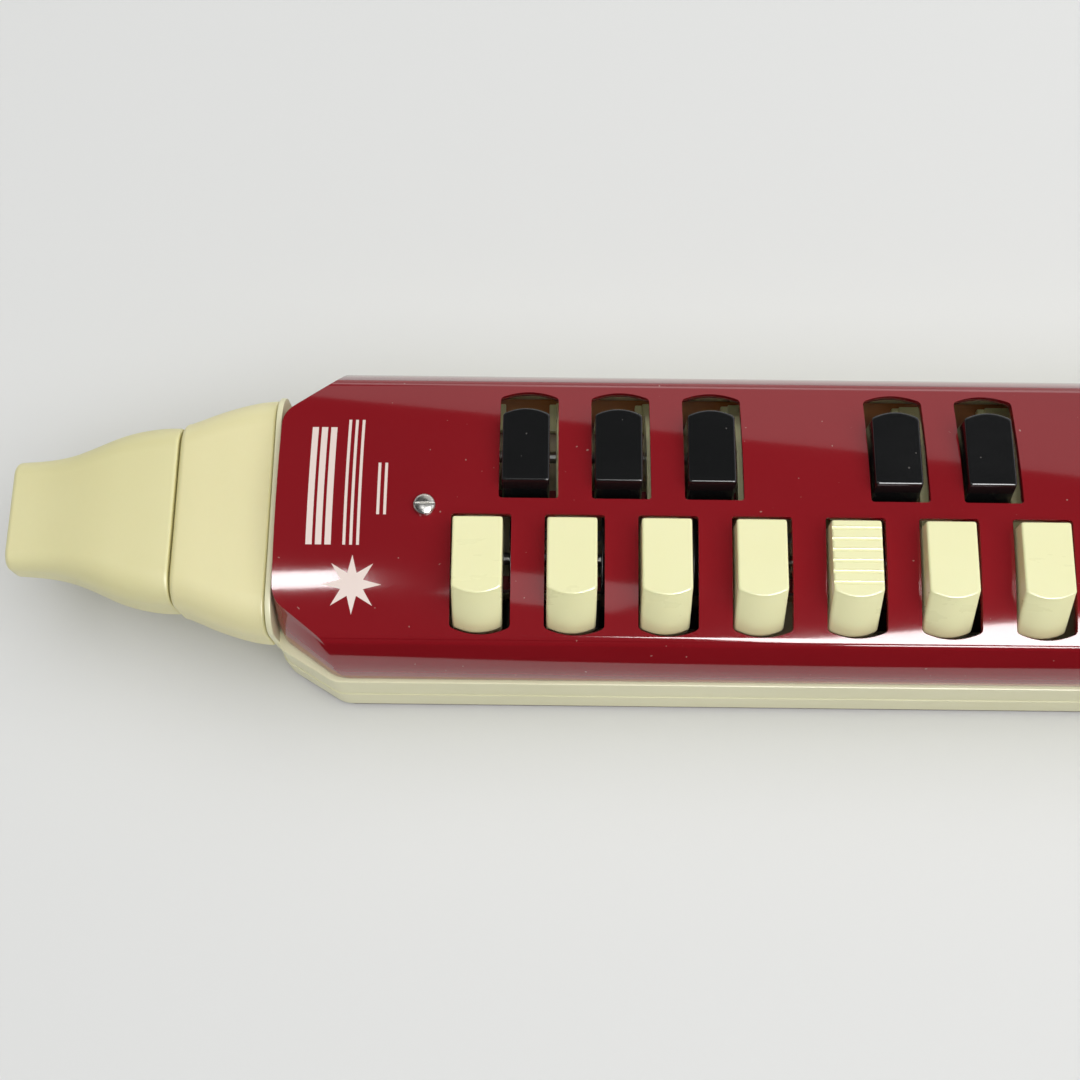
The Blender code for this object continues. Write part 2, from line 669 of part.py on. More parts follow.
def rib_grooves():
    """Shallow vee grooves across the cap's top."""
    made = []
    for k in range(6):
        y = -5.15 - 2.09 * k
        z = WHITE_CAP_TOP + WHITE_TILT * (y + 3.6)
        outline = [(y - 0.6, z + 0.2), (y, z - 0.3), (y + 0.6, z + 0.2)]
        made.append(plate(outline, "YZ", CAP_SHIFT - 6, CAP_SHIFT + 6))
    return made


def place_keys(prefix, template, ribbed, places, axle_y):
    """Copies of a template key, each with its origin on the axle."""
    for number, place in enumerate(places, 1):
        pattern = ribbed if ribbed and place in RIBBED_KEYS else template
        key = bpy.data.objects.new(f"{prefix}_{number:02d}", pattern.data)
        key.location = (white_x(place) * MM, axle_y * MM, AXLE_Z * MM)
        parts.objects.link(key)


def make_keys():
    white = ("white_key", KEY_CREAM, WHITE_AXLE_Y, -1, white_cap_rings(), -19.5)
    plain = key_template(*white, [])
    ribbed = key_template(*white, rib_grooves())
    black = key_template("black_key", BLACK, BLACK_AXLE_Y, 1, black_cap_rings(), 16.0, [])
    for template, axle_y in ((plain, WHITE_AXLE_Y), (ribbed, WHITE_AXLE_Y), (black, BLACK_AXLE_Y)):
        origin_on(template, 0.0, axle_y, AXLE_Z)
    place_keys("white_key", plain, ribbed, range(WHITE_KEYS), WHITE_AXLE_Y)
    place_keys("black_key", black, None, [i + 0.5 for i in BLACK_AFTER], BLACK_AXLE_Y)
    for template in (plain, ribbed, black):
        bpy.data.objects.remove(template, do_unlink=True)


def make_axle(name, y):
    length = WHITE_KEYS * PITCH + 4.0
    axle = rod("X", (MIDDLE + CAP_SHIFT, y, AXLE_Z), AXLE_R, length, 12)
    return finish_part(axle, name, STEEL)


def make_spring_comb(name, axle_y, toward, places):
    """A strip on the chest with one leaf for each key, which presses up under the lever's heel."""
    heel = axle_y + toward * 3.6
    foot_low, foot_high = sorted((heel + toward * 2.0, heel + toward * 4.0))
    strip_low = white_x(places[0]) - 4
    strip_high = white_x(places[-1]) + 4
    comb = box((strip_low, foot_low, CHEST_TOP + GAP), (strip_high, foot_high, CHEST_TOP + GAP + 0.5))
    leaves = []
    for place in places:
        x = white_x(place) + CAP_SHIFT
        base = heel + toward * 2.4
        outline = [(base, CHEST_TOP + GAP + 0.1), (base + toward * 0.5, CHEST_TOP + GAP + 0.1),
                   (heel + toward * 0.5, AXLE_Z - 1.9), (heel - toward * 1.0, AXLE_Z - 2.6),
                   (heel - toward * 1.0, AXLE_Z - 3.1), (heel + toward * 0.1, AXLE_Z - 2.5)]
        leaves.append(plate(outline, "YZ", x - 1.0, x + 1.0))
    fuse(comb, join_loose(leaves))
    return finish_part(comb, name, STEEL)


def make_felt(name, y, low, high):
    felt = box((white_x(0) - 7, y - 1.4, low), (white_x(WHITE_KEYS - 1) + 7, y + 1.4, high))
    return finish_part(felt, name, FELT)


# ---------------------------------------------------------------- fasteners and drain valve

def make_cover_screw(name, x):
    """Slotted pan-head screw through the cover into its post."""
    base = COVER_TOP + 0.1
    profile = ((0.0, 1.3), (0.9, 1.25), (1.7, 0.95), (2.1, 0.45), (2.1, 0.0), (0.95, 0.0),
               (0.95, -11.0), (0.0, -11.6))
    screw = turned(profile, (x, SCREW_Y, base), "Z", 14)
    cut(screw, box((x - 3, SCREW_Y - 0.28, base + 0.65), (x + 3, SCREW_Y + 0.28, base + 3)))
    return finish_part(screw, name, STEEL)


def make_bottom_screw(name, x):
    """Countersunk from below, its head inside the bottom cover's well."""
    profile = ((0.0, 7.2), (0.9, 6.6), (0.9, 1.1), (2.3, 1.1), (2.3, 0.4), (0.0, 0.4))
    screw = turned(profile, (x, 0, 0), "Z", 12)
    cut(screw, box((x - 3, -0.3, -1), (x + 3, 0.3, 0.7)))
    return finish_part(screw, name, STEEL)


def make_drain():
    """Push button, coil spring and seal of the valve that lets the moisture out."""
    outer = FIRST + LAST + FRAME_END
    seal_x = CHEST_END - CHEST_WALL - GAP
    length = outer + BUTTON_OUT - (seal_x - 2.3)
    start = seal_x - 2.3
    flange = outer - 3.6
    profile = ((0.0, length), (3.6, length), (4.5, length - 0.8), (4.5, flange + 1.2 - start),
               (5.6, flange + 1.2 - start), (5.6, flange - start), (1.2, flange - start),
               (1.2, 0.9), (2.2, 0.9), (2.2, 0.0), (0.0, 0.0))
    button = turned(profile, (start, 0, DRAIN_Z), "X", 16)
    finish_part(button, "drain_button", CREAM)
    origin_on(button, outer, 0, DRAIN_Z)
    seal = turned(((1.35, 1.1), (3.4, 1.1), (3.4, 0.0), (1.35, 0.0), (1.35, 1.1)),
                  (seal_x - 1.1, 0, DRAIN_Z), "X", 16)
    finish_part(seal, "drain_seal", RUBBER)
    make_spring(CHEST_END + 0.6, flange - 0.6, 3.2, 0.3)


def make_spring(start, end, radius, wire):
    """Coil spring along X between the chest and the button's flange."""
    turns = 4
    per_turn = 10
    curve = bpy.data.curves.new("drain_spring", "CURVE")
    curve.dimensions = "3D"
    curve.bevel_depth = wire * MM
    curve.bevel_resolution = 1
    curve.use_fill_caps = True
    spline = curve.splines.new("POLY")
    count = turns * per_turn + 1
    spline.points.add(count - 1)
    for i, point in enumerate(spline.points):
        angle = 2 * math.pi * i / per_turn
        x = start + (end - start) * i / (count - 1)
        point.co = (x * MM, radius * math.cos(angle) * MM, (DRAIN_Z + radius * math.sin(angle)) * MM, 1.0)
    made = bpy.data.objects.new("drain_spring", curve)
    workshop.objects.link(made)
    bpy.context.view_layer.update()
    return finish_part(to_mesh(made), "drain_spring", STEEL)


make_top_cover()
make_frame()
make_bottom_cover()
make_collar()
make_mouthpiece()
make_breath_seals()
make_wind_chest()
make_reed_plate("white_reed_plate", "white", list(range(WHITE_KEYS)))
make_reed_plate("black_reed_plate", "black", [i + 0.5 for i in BLACK_AFTER])
make_keys()
make_axle("white_key_axle", WHITE_AXLE_Y)
make_axle("black_key_axle", BLACK_AXLE_Y)
make_spring_comb("white_spring_comb", WHITE_AXLE_Y, -1, list(range(WHITE_KEYS)))
make_spring_comb("black_spring_comb", BLACK_AXLE_Y, 1, [i + 0.5 for i in BLACK_AFTER])
make_felt("white_key_felt", -12.2, 20.4 + GAP, 23.0)
make_felt("black_key_felt", 5.2, 21.8 + GAP, 24.4)
for label, screw_x in zip(("left", "right"), SCREW_X):
    make_cover_screw(f"cover_screw_{label}", screw_x)
for index, screw_x in enumerate(BOTTOM_SCREW_X, 1):
    make_bottom_screw(f"bottom_screw_{index}", screw_x)
make_drain()
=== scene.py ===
"""The looks of a 25-key button melodica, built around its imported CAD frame.

Lengths in the modelling code are millimetres, in the frame's own axes: +X towards the far end,
+Y towards the black keys, +Z up. add_object() turns them into metres.
"""

import json
import math

import bmesh
import bpy
from mathutils import Matrix, Vector

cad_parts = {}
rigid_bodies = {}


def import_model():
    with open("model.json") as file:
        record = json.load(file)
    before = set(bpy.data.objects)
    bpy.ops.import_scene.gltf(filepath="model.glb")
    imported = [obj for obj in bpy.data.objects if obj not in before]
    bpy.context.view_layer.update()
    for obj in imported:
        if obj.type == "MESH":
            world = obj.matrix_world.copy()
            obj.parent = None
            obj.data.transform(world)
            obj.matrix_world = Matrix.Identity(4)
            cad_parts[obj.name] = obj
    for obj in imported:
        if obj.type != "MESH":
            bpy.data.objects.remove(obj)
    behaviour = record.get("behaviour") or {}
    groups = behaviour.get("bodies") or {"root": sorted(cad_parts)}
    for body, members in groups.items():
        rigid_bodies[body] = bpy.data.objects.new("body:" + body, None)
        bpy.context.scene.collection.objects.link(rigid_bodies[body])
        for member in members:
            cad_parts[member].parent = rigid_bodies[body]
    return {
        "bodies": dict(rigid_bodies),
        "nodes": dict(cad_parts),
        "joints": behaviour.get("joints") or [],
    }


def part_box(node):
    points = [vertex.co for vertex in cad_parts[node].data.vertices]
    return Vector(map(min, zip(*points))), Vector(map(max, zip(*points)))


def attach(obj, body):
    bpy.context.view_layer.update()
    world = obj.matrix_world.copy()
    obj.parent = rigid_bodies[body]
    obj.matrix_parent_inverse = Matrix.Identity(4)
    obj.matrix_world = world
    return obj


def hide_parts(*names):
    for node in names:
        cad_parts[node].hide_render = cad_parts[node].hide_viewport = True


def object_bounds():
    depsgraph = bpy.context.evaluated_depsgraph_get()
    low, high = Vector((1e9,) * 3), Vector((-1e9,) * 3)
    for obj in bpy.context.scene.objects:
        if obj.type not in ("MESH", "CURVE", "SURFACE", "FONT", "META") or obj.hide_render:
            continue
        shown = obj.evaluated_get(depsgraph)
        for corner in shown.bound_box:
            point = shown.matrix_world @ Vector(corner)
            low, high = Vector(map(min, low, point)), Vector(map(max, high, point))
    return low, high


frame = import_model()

CAD_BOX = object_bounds()
MM = 0.001

# Places read from the frame
JOINTS = {joint["name"]: joint for joint in frame["joints"]}
WHITE = sorted(body for body in frame["bodies"] if body.startswith("white_key_"))
BLACK = sorted(body for body in frame["bodies"] if body.startswith("black_key_"))
KEY_AXLE = {key: Vector(JOINTS[key + "_press"]["pos_m"]) / MM for key in WHITE + BLACK}
FIRST = KEY_AXLE[WHITE[0]].x
PITCH = KEY_AXLE[WHITE[1]].x - FIRST
END = KEY_AXLE[WHITE[-1]].x
MIDDLE = (FIRST + END) / 2


def cad_box(node):
    low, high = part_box(node)
    return low / MM, high / MM


COVER_LOW, COVER_HIGH = cad_box("top_cover")
FRAME_LOW, FRAME_HIGH = cad_box("body_frame")
COLLAR_LOW, COLLAR_HIGH = cad_box("mouthpiece_collar")
MOUTH_LOW, MOUTH_HIGH = cad_box("mouthpiece")

# Case: distances along X run from the first key, and corners are half-widths of the end faces
GAP = 0.3
SHELL_END = FIRST - COVER_LOW.x
FRAME_END = FIRST - FRAME_LOW.x
SEAM = FIRST - COLLAR_LOW.x
TIP = FIRST - MOUTH_LOW.x
BREATH_Z = (COLLAR_LOW.z + COLLAR_HIGH.z) / 2
BREATH_HOLE = (12.4, 5.4)
COVER_TOP = COVER_HIGH.z
COVER_BOTTOM = COVER_LOW.z
COVER_HALF = COVER_HIGH.y
COVER_CORNER = 23.3
COVER_CHAMFER = 11.5
CHAMFER_LEAN = ((COVER_BOTTOM, 0.0), (25.0, 0.5), (28.5, 1.5), (32.5, 3.0), (COVER_TOP + 2, 5.0))
ARCH_R = 98.0
SHOULDER_Y = 25.0
WALL = 1.8
FRAME_HALF = FRAME_HIGH.y
FRAME_CORNER = 25.5
FRAME_CHAMFER = 12.0
FRAME_BOTTOM = FRAME_LOW.z
LEDGE_Z = COVER_BOTTOM - GAP
FLANGE_HALF = 24.3

# Windows: half-width, straight edge, corners of the bowed edge, its middle, corner radius
WHITE_WINDOW = (5.73, -2.1, -23.6, -24.95, 0.7)
BLACK_WINDOW = (5.69, 1.1, 22.65, 24.0, 0.7)

# Print on the arch: stripes as (distance from the first key, width, low Y, high Y), and one star
STRIPES = ((-33.2, 1.2, -8.5, 15.5), (-31.4, 1.2, -8.5, 15.5), (-29.6, 1.2, -8.5, 15.5),
           (-26.2, 0.55, -8.5, 17.2), (-24.9, 0.55, -8.5, 17.2), (-23.6, 0.55, -8.5, 17.2),
           (-20.0, 0.55, -2.5, 8.0), (-18.7, 0.55, -2.5, 8.0))
STAR_PLACE = (-24.2, -16.0)
STAR_RADII = (5.6, 2.3)
PRINT_PROUD = 0.025
PRINT_SUNK = 0.2

# Small round parts
DRAIN_HOLE_R = 4.8
AXLE_BORE_R = 1.36

# Keys
CAP_SHIFT = -0.55
WHITE_CAP_TOP = CAD_BOX[1][2] / MM
BLACK_CAP_TOP = 38.6
RIBBED = (4, 11)


# ---------------------------------------------------------------- modelling helpers

def add_object(name, bm):
    """An object in metres from a bmesh in millimetres."""
    bmesh.ops.recalc_face_normals(bm, faces=bm.faces)
    bmesh.ops.scale(bm, vec=(MM, MM, MM), verts=bm.verts)
    mesh = bpy.data.meshes.new(name)
    bm.to_mesh(mesh)
    bm.free()
    made = bpy.data.objects.new(name, mesh)
    bpy.context.scene.collection.objects.link(made)
    return made


def box(low, high, name="box"):
    bm = bmesh.new()
    middle = (Vector(low) + Vector(high)) / 2
    size = Vector(high) - Vector(low)
    bmesh.ops.create_cube(bm, size=1.0, matrix=Matrix.Translation(middle) @ Matrix.Diagonal((*size, 1.0)))
    return add_object(name, bm)


def loft(rings, name="loft", closed=False):
    """Bridge rings of equal length; a closed loft comes back to its first ring."""
    bm = bmesh.new()
    rows = [[bm.verts.new(point) for point in ring] for ring in rings]
    pairs = list(zip(rows, rows[1:]))
    if closed:
        pairs.append((rows[-1], rows[0]))
    for lower, upper in pairs:
        for i in range(len(lower)):
            j = (i + 1) % len(lower)
            bm.faces.new((lower[i], lower[j], upper[j], upper[i]))
    if not closed:
        bm.faces.new(rows[0])
        bm.faces.new(rows[-1])
    return add_object(name, bm)


def prism(outline, low, high, across="Z", name="prism"):
    """A flat outline given its thickness along one axis: (x, y) for Z, (y, z) for X."""
    place = {"Z": lambda a, b, c: (a, b, c), "X": lambda a, b, c: (c, a, b)}[across]
    return loft([[place(a, b, level) for a, b in outline] for level in (low, high)], name)


def turned(profile, middle, name, sides=48):
    """A profile of (radius, height) turned about a vertical axis through middle."""
    rings = []
    for radius, height in profile:
        rings.append([(middle[0] + radius * math.cos(2 * math.pi * i / sides),
                       middle[1] + radius * math.sin(2 * math.pi * i / sides),
                       middle[2] + height) for i in range(sides)])
    return loft(rings, name)


def bake(target):
    """Apply an object's modifiers."""
    bpy.context.view_layer.update()
    evaluated = target.evaluated_get(bpy.context.evaluated_depsgraph_get())
    target.data = bpy.data.meshes.new_from_object(evaluated)
    target.modifiers.clear()
    return target


def combine(target, operation, *tools):
    for tool in tools:
        boolean = target.modifiers.new("boolean", "BOOLEAN")
        boolean.operation = operation
        boolean.object = tool
        boolean.solver = "EXACT"
        bake(target)
        bpy.data.objects.remove(tool, do_unlink=True)
    return target


def join(pieces, name="joined"):
    """Several objects' meshes in one object."""
    bm = bmesh.new()
    for piece in pieces:
        bm.from_mesh(piece.data)
        bpy.data.objects.remove(piece, do_unlink=True)
    bmesh.ops.scale(bm, vec=(1 / MM,) * 3, verts=bm.verts)
    return add_object(name, bm)


def bevel(target, width, segments=3, angle=40):
    rounding = target.modifiers.new("rounding", "BEVEL")
    rounding.width = width * MM
    rounding.segments = segments
    rounding.limit_method = "ANGLE"
    rounding.angle_limit = math.radians(angle)
    rounding.use_clamp_overlap = True
    return bake(target)


def smooth(target, angle=40):
    """Smooth shading that keeps flat faces flat."""
    target.data.shade_smooth()
    target.data.set_sharp_from_angle(angle=math.radians(angle))
    weighted = target.modifiers.new("weighted", "WEIGHTED_NORMAL")
    weighted.keep_sharp = True
    weighted.weight = 60
    return bake(target)


def refined(node, name, width, segments=2, angle=35):
    """A copy of a CAD node with its edges rounded."""
    bm = bmesh.new()
    bm.from_mesh(frame["nodes"][node].data)
    bmesh.ops.remove_doubles(bm, verts=bm.verts, dist=0.000002)
    bmesh.ops.dissolve_limit(bm, angle_limit=math.radians(0.5), verts=bm.verts, edges=bm.edges)
    bmesh.ops.scale(bm, vec=(1 / MM,) * 3, verts=bm.verts)
    made = add_object(name, bm)
    bevel(made, width, segments, angle)
    return smooth(made)


def show(piece, name, body, finish, slot, *nodes):
    """Name a finished piece, paint it, and put it in place of CAD nodes on their body."""
    piece.name = name
    piece.data.name = name
    piece.data.materials.clear()
    piece.data.materials.append(finish)
    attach(piece, body)
    if nodes:
        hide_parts(*nodes)
    return piece


# ---------------------------------------------------------------- outlines

def arc(centre, radius, start, end, steps):
    angles = [math.radians(start + (end - start) * i / steps) for i in range(steps + 1)]
    return [(centre[0] + radius * math.cos(a), centre[1] + radius * math.sin(a)) for a in angles]


def round_corners(corners, radii, steps=6):
    """Replace each corner of a closed outline by a quadratic curve that starts a radius away."""
    points = []
    for i, here in enumerate(corners):
        before = Vector(corners[i - 1])
        after = Vector(corners[(i + 1) % len(corners)])
        here = Vector(here)
        radius = radii[i]
        if radius <= 0:
            points.append(tuple(here))
            continue
        start = here + (before - here).normalized() * radius
        end = here + (after - here).normalized() * radius
        for k in range(steps + 1):
            t = k / steps
            points.append(tuple(start * (1 - t) ** 2 + here * 2 * t * (1 - t) + end * t * t))
    return points


def chamfered(end, half, corner, chamfer, inset, lean, rounding, steps):
    """The case from above: a rectangle with chamfered and rounded corners, shrunk by an inset.

    The lean moves only the chamfers inwards.
    """
    slope = math.atan2(half - corner, chamfer)
    x = (END - FIRST) / 2 + end
    end_y = corner - lean / math.cos(slope) - inset * math.tan((math.pi / 2 - slope) / 2)
    side_x = x - chamfer - lean / math.sin(slope) - inset * math.tan(slope / 2)
    x -= inset
    y = half - inset
    corners = [(x, -end_y), (x, end_y), (side_x, y), (-side_x, y),
               (-x, end_y), (-x, -end_y), (-side_x, -y), (side_x, -y)]
    end_rounding, side_rounding = rounding
    radii = [end_rounding, end_rounding, side_rounding, side_rounding] * 2
    return [(u + MIDDLE, v) for u, v in round_corners(corners, radii, steps)]


def frame_outline(inset, steps=6):
    return chamfered(FRAME_END, FRAME_HALF, FRAME_CORNER, FRAME_CHAMFER, inset, 0.0, (2.0, 1.6), steps)


def cover_outline(inset, steps=6, lean=0.0):
    return chamfered(SHELL_END, COVER_HALF, COVER_CORNER, COVER_CHAMFER, inset, lean, (2.6, 2.4), steps)


def at_height(outline, z):
    return [(x, y, z) for x, y in outline]


def cover_section(inset, bottom, steps=72, bend_steps=24):
    """The cover's cross-section: an arch that bends down over two shoulders to upright feet."""
    lean = math.asin(SHOULDER_Y / ARCH_R)
    degrees = math.degrees(lean)
    top = arc((0.0, COVER_TOP - ARCH_R), ARCH_R - inset, 90 - degrees, 90 + degrees, steps)
    side = COVER_HALF - inset
    y, z = top[-1]
    reach = side + y
    bend = ((y, z), (y - reach * 0.5, z - reach * 0.5 * math.tan(lean)),
            (-side, COVER_BOTTOM + (z - COVER_BOTTOM) * 0.32), (-side, COVER_BOTTOM))
    shoulder = []
    for k in range(1, bend_steps + 1):
        t = k / bend_steps
        weights = ((1 - t) ** 3, 3 * t * (1 - t) ** 2, 3 * t * t * (1 - t), t ** 3)
        shoulder.append(tuple(sum(w * point[axis] for w, point in zip(weights, bend)) for axis in (0, 1)))
    left = shoulder + [(-side, bottom)]
    return [(-y, z) for y, z in reversed(left)] + top + left


def bowed(half, straight, corner, middle, radius=0.0, steps=14):
    """Outline with three straight sides and one side bowed from its corners out to its middle."""
    bow = []
    for i in range(1, steps):
        t = 2 * i / steps - 1
        bow.append((half * t, middle + (corner - middle) * t * t))
    if radius <= 0:
        return [(half, straight), (-half, straight), (-half, corner)] + bow + [(half, corner)]
    corners = [(half, straight), (-half, straight), (-half, corner)] + bow + [(half, corner)]
    radii = [radius, radius, radius] + [0.0] * len(bow) + [radius]
    return round_corners(corners, radii, 4)


def rounded_section(x, half, tall, radius, steps=10):
    """Rounded rectangle across the breath channel."""
    points = []
    for corner, start in (((half - radius, tall - radius), 0), ((-half + radius, tall - radius), 90),
                          ((-half + radius, -tall + radius), 180), ((half - radius, -tall + radius), 270)):
        points += arc(corner, radius, start, start + 90, steps)
    return [(x, y, z + BREATH_Z) for y, z in points]


def smooth_stations(stations, steps):
    """More stations along a loft, on a smooth curve through the given ones (Catmull-Rom)."""
    padded = [stations[0]] + list(stations) + [stations[-1]]
    made = []
    for a, b, c, d in zip(padded, padded[1:], padded[2:], padded[3:]):
        for k in range(steps):
            t = k / steps
            made.append(tuple(
                0.5 * (2 * q + (r - p) * t + (2 * p - 5 * q + 4 * r - s) * t ** 2
                       + (3 * q - p - 3 * r + s) * t ** 3)
                for p, q, r, s in zip(a, b, c, d)))
    made.append(stations[-1])
    return made


# ---------------------------------------------------------------- materials

def new_material(name):
    made = bpy.data.materials.new(name)
    made.use_nodes = True
    nodes = made.node_tree.nodes
    return made, nodes, made.node_tree.links, nodes["Principled BSDF"]


def add(nodes, kind, **inputs):
    """Add a shader node and set its inputs by name; spaces are written as underscores."""
    node = nodes.new(kind)
    for key, value in inputs.items():
        node.inputs[key.replace("_", " ")].default_value = value
    return node


def noise(nodes, links, scale, detail=2.0, rough=0.5, coords="Object", stretch=None):
    """Noise in the object's own coordinates, in metres; stretch squeezes it along an axis."""
    place = nodes.new("ShaderNodeTexCoord")
    source = place.outputs[coords]
    if stretch:
        mapping = nodes.new("ShaderNodeMapping")
        mapping.inputs["Scale"].default_value = stretch
        links.new(source, mapping.inputs["Vector"])
        source = mapping.outputs["Vector"]
    texture = add(nodes, "ShaderNodeTexNoise", Scale=scale, Detail=detail, Roughness=rough)
    links.new(source, texture.inputs["Vector"])
    return texture.outputs["Fac"]


def ramp(nodes, links, value, stops, ease="LINEAR"):
    """A colour ramp over a value: stops are (position, colour or grey)."""
    node = nodes.new("ShaderNodeValToRGB")
    node.color_ramp.interpolation = ease
    elements = node.color_ramp.elements
    while len(elements) < len(stops):
        elements.new(0.5)
    for element, (position, colour) in zip(elements, stops):
        element.position = position
        grey = isinstance(colour, (int, float))
        element.color = (colour, colour, colour, 1.0) if grey else (*colour, 1.0)
    links.new(value, node.inputs["Fac"])
    return node.outputs["Color"]


def mix(nodes, links, share, first, second):
    """Blend two colours; each is a socket or a plain colour."""
    node = nodes.new("ShaderNodeMix")
    node.data_type = "RGBA"
    for socket, value in ((node.inputs[0], share), (node.inputs[6], first), (node.inputs[7], second)):
        if isinstance(value, bpy.types.NodeSocket):
            links.new(value, socket)
        else:
            socket.default_value = (*value, 1.0) if isinstance(value, tuple) else value
    return node.outputs[2]


def bump(nodes, links, layers):
    """Chain of bumps: each layer is (height socket, strength, distance in metres)."""
    normal = None
    for height, strength, distance in layers:
        node = add(nodes, "ShaderNodeBump", Strength=strength, Distance=distance)
        links.new(height, node.inputs["Height"])
        if normal is not None:
            links.new(normal, node.inputs["Normal"])
        normal = node.outputs["Normal"]
    return normal


def plastic(name, colour, shade, roughness, spread, wave=0.00006, pores=0.000006, coat=0.0, dust=None,
            soft=0.0):
    """Moulded plastic: colour drifts slowly between two tones, with flow waves, fine pores and dust."""
    made, nodes, links, shader = new_material(name)
    drift = noise(nodes, links, 22.0, 3.0)
    fine = noise(nodes, links, 900.0, 2.0)
    tone = ramp(nodes, links, drift, ((0.30, colour), (0.72, shade)))
    grain = ramp(nodes, links, fine, ((0.35, 0.0), (0.75, 1.0)))
    speckled = mix(nodes, links, 0.0, tone, shade)
    share = speckled.node.inputs[0]
    faint = nodes.new("ShaderNodeMath")
    faint.operation = "MULTIPLY"
    faint.inputs[1].default_value = 0.16
    links.new(grain, faint.inputs[0])
    links.new(faint.outputs[0], share)
    base = speckled
    if dust:
        specks = noise(nodes, links, 1300.0, 0.0, 0.0)
        spots = ramp(nodes, links, specks, ((0.865, 0.0), (0.885, 0.45)))
        base = mix(nodes, links, spots, base, dust)
    links.new(base, shader.inputs["Base Color"])
    smear = noise(nodes, links, 60.0, 5.0, 0.65, stretch=(0.5, 1.6, 1.0))
    levels = ramp(nodes, links, smear, ((0.25, roughness), (0.75, roughness + spread)))
    links.new(levels, shader.inputs["Roughness"])
    waves = noise(nodes, links, 75.0, 1.0, 0.4)
    normal = bump(nodes, links, ((waves, 0.5, wave), (fine, 0.4, pores)))
    links.new(normal, shader.inputs["Normal"])
    shader.inputs["Coat Weight"].default_value = coat
    shader.inputs["Coat Roughness"].default_value = 0.04
    shader.inputs["Subsurface Weight"].default_value = soft
    shader.inputs["Subsurface Radius"].default_value = (0.0012, 0.0008, 0.0004)
    return made


def metal(name, colour, tarnish, roughness, stretch, spread=0.18):
    """Metal with drawn or turned grain and uneven tarnish."""
    made, nodes, links, shader = new_material(name)
    cloud = noise(nodes, links, 160.0, 4.0, 0.6)
    stain = ramp(nodes, links, cloud, ((0.40, 0.0), (0.70, 1.0)))
    links.new(mix(nodes, links, stain, colour, tarnish), shader.inputs["Base Color"])
    grain = noise(nodes, links, 700.0, 3.0, 0.6, stretch=stretch)
    levels = ramp(nodes, links, grain, ((0.3, roughness), (0.7, roughness + spread)))
    links.new(levels, shader.inputs["Roughness"])
    links.new(bump(nodes, links, ((grain, 0.35, 0.00001),)), shader.inputs["Normal"])
    shader.inputs["Metallic"].default_value = 1.0
    return made


def felt_material():
    made, nodes, links, shader = new_material("felt_red")
    fibres = noise(nodes, links, 1400.0, 6.0, 0.75)
    tone = ramp(nodes, links, fibres, ((0.3, (0.13, 0.012, 0.014)), (0.75, (0.32, 0.05, 0.05))))
    links.new(tone, shader.inputs["Base Color"])
    links.new(bump(nodes, links, ((fibres, 0.9, 0.00015),)), shader.inputs["Normal"])
    shader.inputs["Roughness"].default_value = 0.95
    shader.inputs["Sheen Weight"].default_value = 0.4
    return made


# Painted shade and light at the back of the wind chest, against Y in metres: where it starts, then its
# colours, a maroon painted shade and then an amber painted light for the cream lit through the red cover
PAINTED_SHADE_EDGE = ((0.0196, 0.0), (0.0202, 1.0))
PAINTED_SHADE_AND_LIGHT = ((0.0238, (0.10, 0.008, 0.009)), (0.0250, (0.50, 0.19, 0.04)))


def chest_material():
    """Cream plastic that turns to maroon painted shade and then to amber painted light towards the back of
    the case.
    """
    made = plastic("chest_cream", (0.62, 0.55, 0.36), (0.52, 0.45, 0.29), 0.5, 0.15)
    nodes, links = made.node_tree.nodes, made.node_tree.links
    shader = nodes["Principled BSDF"]
    cream = shader.inputs["Base Color"].links[0].from_socket
    split = nodes.new("ShaderNodeSeparateXYZ")
    links.new(nodes.new("ShaderNodeNewGeometry").outputs["Position"], split.inputs[0])
    # towards the back the cream gives way to maroon painted shade and then amber painted light
    share = ramp(nodes, links, split.outputs["Y"], PAINTED_SHADE_EDGE)
    tint = ramp(nodes, links, split.outputs["Y"], PAINTED_SHADE_AND_LIGHT)
    links.new(mix(nodes, links, share, cream, tint), shader.inputs["Base Color"])
    return made


def rubber_material():
    made, nodes, links, shader = new_material("seal_rubber")
    grain = noise(nodes, links, 1100.0, 4.0, 0.6)
    tone = ramp(nodes, links, grain, ((0.3, (0.018, 0.018, 0.018)), (0.8, (0.055, 0.052, 0.05))))
    links.new(tone, shader.inputs["Base Color"])
    links.new(ramp(nodes, links, grain, ((0.2, 0.55), (0.8, 0.8))), shader.inputs["Roughness"])
    links.new(bump(nodes, links, ((grain, 0.5, 0.00003),)), shader.inputs["Normal"])
    return made


RED = plastic("cover_red", (0.240, 0.0075, 0.0125), (0.215, 0.0060, 0.0105), 0.06, 0.04,
              wave=0.00005, coat=0.35, dust=(0.55, 0.42, 0.36))
CREAM = plastic("case_cream", (0.80, 0.745, 0.420), (0.755, 0.695, 0.375), 0.33, 0.12,
                wave=0.00004, soft=0.06)
FRAME_CREAM = plastic("frame_cream", (0.78, 0.75, 0.50), (0.73, 0.70, 0.45), 0.34, 0.12, wave=0.00004)
